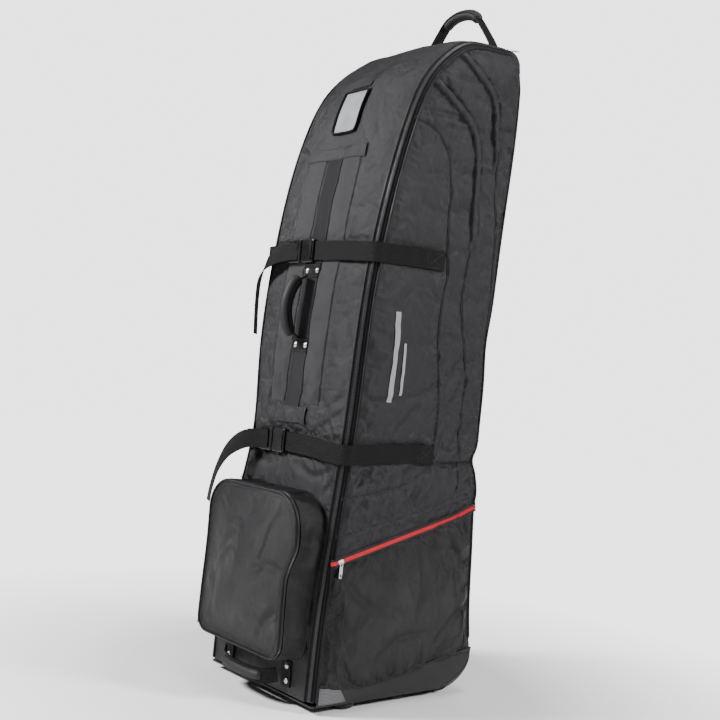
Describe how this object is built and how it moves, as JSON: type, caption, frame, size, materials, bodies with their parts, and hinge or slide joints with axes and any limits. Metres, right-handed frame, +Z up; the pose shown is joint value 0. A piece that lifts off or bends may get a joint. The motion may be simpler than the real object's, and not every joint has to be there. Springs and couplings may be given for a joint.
{
  "type": "golf travel case",
  "caption": "Upright soft golf travel case on wheels, with a curved zip-open hood, compression straps, carry handles, a front shoe pocket and slanting side pockets.",
  "frame": {"origin": "on the floor under the centre of the case's bounding box", "axes": "+Z up, -Y towards the front with the shoe pocket, +X towards the case's left-hand side as it faces you"},
  "size_m": [0.3646, 0.477, 1.462],
  "materials": {
    "body_fabric": "matte woven polyester",
    "pocket_fabric": "smooth nylon",
    "webbing": "ribbed webbing",
    "foam": "foam faced with knit fabric",
    "moulding": "textured moulding",
    "buckle": "gloss",
    "zip_black": "coil zip",
    "zip_red": "red zip tape",
    "pull_metal": "polished",
    "steel": "plain",
    "tyre": "soft polyurethane",
    "window": "clear film",
    "grip": "padded grip",
    "board": "plain board"
  },
  "bodies": {
    "case": {"side_panel_right": "body_fabric", "side_panel_left": "body_fabric", "scuff_strips": "moulding", "foam_sheets": "foam", "front_panel": "body_fabric", "back_panel": "body_fabric", "kick_plate": "moulding", "skid_rails": "moulding", "top_yoke": "body_fabric", "long_zip_lower": "zip_black", "centre_webbing_lower": "webbing", "inside_straps": "webbing", "inside_buckles": "buckle", "side_pocket_panels": "pocket_fabric", "side_pocket_zips": "zip_red", "base_tray": "moulding", "base_board": "board", "wheel_arches": "moulding", "axles": "steel", "front_feet": "moulding", "foot_screws": "steel", "compression_straps": "webbing", "buckle_sockets": "buckle", "shoe_pocket_gusset": "body_fabric", "shoe_zip_gusset_half": "zip_black", "shoe_zip_slider_lower": "pull_metal", "handle_anchors": "moulding", "handle_rivets": "pull_metal"},
    "hood": {"hood_panel": "body_fabric", "hood_foam": "foam", "long_zip_hood": "zip_black", "hood_trim": "webbing", "id_holder": "body_fabric", "id_window": "window"},
    "wheel_right": {"wheel_tyre_right": "tyre", "wheel_hub_right": "board", "wheel_bearings_right": "steel"},
    "wheel_left": {"wheel_tyre_left": "tyre", "wheel_hub_left": "board", "wheel_bearings_left": "steel"},
    "long_slider_right": {"long_zip_slider_right": "zip_black"},
    "long_pull_right": {"long_zip_pull_right": "zip_black"},
    "long_slider_left": {"long_zip_slider_left": "zip_black"},
    "long_pull_left": {"long_zip_pull_left": "zip_black"},
    "side_slider_right": {"side_zip_slider_right": "pull_metal"},
    "side_pull_right": {"side_zip_pull_right": "pull_metal"},
    "side_slider_left": {"side_zip_slider_left": "pull_metal"},
    "side_pull_left": {"side_zip_pull_left": "pull_metal"},
    "upper_buckle": {"upper_buckle_plug": "buckle", "upper_strap_tail": "webbing"},
    "lower_buckle": {"lower_buckle_plug": "buckle", "lower_strap_tail": "webbing"},
    "shoe_cover": {"shoe_pocket_cover": "body_fabric", "shoe_zip_cover_half": "zip_black"},
    "shoe_slider_upper": {"shoe_zip_slider_upper": "pull_metal"},
    "shoe_pull_upper": {"shoe_zip_pull_upper": "pull_metal"},
    "shoe_pull_lower": {"shoe_zip_pull_lower": "pull_metal"},
    "top_handle": {"top_handle": "grip"},
    "front_handle": {"front_handle": "grip"},
    "base_handle": {"base_handle": "grip"}
  },
  "joints": [
    {"name": "hood_fold", "type": "hinge", "parent": "case", "child": "hood", "pos_m": [0, -0.12912, 0.917], "axis": [1, 0, 0], "range_deg": [0, 110]},
    {"name": "wheel_spin_right", "type": "hinge", "parent": "case", "child": "wheel_right", "pos_m": [0.135, 0.18, 0.038], "axis": [1, 0, 0], "continuous": true},
    {"name": "wheel_spin_left", "type": "hinge", "parent": "case", "child": "wheel_left", "pos_m": [-0.135, 0.18, 0.038], "axis": [1, 0, 0], "continuous": true},
    {"name": "long_zip_slide_right", "type": "slide", "parent": "case", "child": "long_slider_right", "axis": [0, -0.9932, -0.1168], "range_m": [0, 0.065]},
    {"name": "long_zip_pull_swing_right", "type": "hinge", "parent": "long_slider_right", "child": "long_pull_right", "pos_m": [0.1616, 0.18653, 1.34162], "axis": [1, 0, 0], "range_deg": [0, 150]},
    {"name": "side_zip_slide_right", "type": "slide", "parent": "case", "child": "side_slider_right", "axis": [0, 0.9644, 0.2644], "range_m": [0, 0.34]},
    {"name": "side_zip_pull_swing_right", "type": "hinge", "parent": "side_slider_right", "child": "side_pull_right", "pos_m": [0.1794, -0.14871, 0.27989], "axis": [0, -1, 0], "range_deg": [0, 110]},
    {"name": "long_zip_slide_left", "type": "slide", "parent": "case", "child": "long_slider_left", "axis": [0, -0.9932, -0.1168], "range_m": [0, 0.065]},
    {"name": "long_zip_pull_swing_left", "type": "hinge", "parent": "long_slider_left", "child": "long_pull_left", "pos_m": [-0.1616, 0.18653, 1.34162], "axis": [1, 0, 0], "range_deg": [0, 150]},
    {"name": "side_zip_slide_left", "type": "slide", "parent": "case", "child": "side_slider_left", "axis": [0, 0.9644, 0.2644], "range_m": [0, 0.34]},
    {"name": "side_zip_pull_swing_left", "type": "hinge", "parent": "side_slider_left", "child": "side_pull_left", "pos_m": [-0.1794, -0.14871, 0.27989], "axis": [0, 1, 0], "range_deg": [0, 110]},
    {"name": "upper_buckle_release", "type": "slide", "parent": "case", "child": "upper_buckle", "axis": [-1, 0, 0], "range_m": [0, 0.03]},
    {"name": "lower_buckle_release", "type": "slide", "parent": "case", "child": "lower_buckle", "axis": [-1, 0, 0], "range_m": [0, 0.03]},
    {"name": "shoe_cover_fold", "type": "hinge", "parent": "case", "child": "shoe_cover", "pos_m": [0, -0.2322, 0.0914], "axis": [1, 0, 0], "range_deg": [0, 95]},
    {"name": "shoe_zip_slide", "type": "slide", "parent": "case", "child": "shoe_slider_upper", "axis": [0, 0, 1], "range_m": [0, 0.15]},
    {"name": "shoe_zip_pull_swing_upper", "type": "hinge", "parent": "shoe_slider_upper", "child": "shoe_pull_upper", "pos_m": [-0.149, -0.232, 0.152], "axis": [0, 1, 0], "range_deg": [0, 150]},
    {"name": "shoe_zip_pull_swing_lower", "type": "hinge", "parent": "case", "child": "shoe_pull_lower", "pos_m": [-0.149, -0.232, 0.122], "axis": [0, 1, 0], "range_deg": [0, 150]},
    {"name": "top_handle_swing", "type": "hinge", "parent": "case", "child": "top_handle", "pos_m": [0, 0.196, 1.346], "axis": [1, 0, 0], "range_deg": [-75, 75]},
    {"name": "front_handle_swing", "type": "hinge", "parent": "case", "child": "front_handle", "pos_m": [-0.006, -0.15426, 0.68046], "axis": [0, 0.066, 0.9978], "range_deg": [-40, 80]},
    {"name": "base_handle_swing", "type": "hinge", "parent": "case", "child": "base_handle", "pos_m": [0, -0.18905, 0.06], "axis": [1, 0, 0], "range_deg": [-30, 40]}
  ]
}
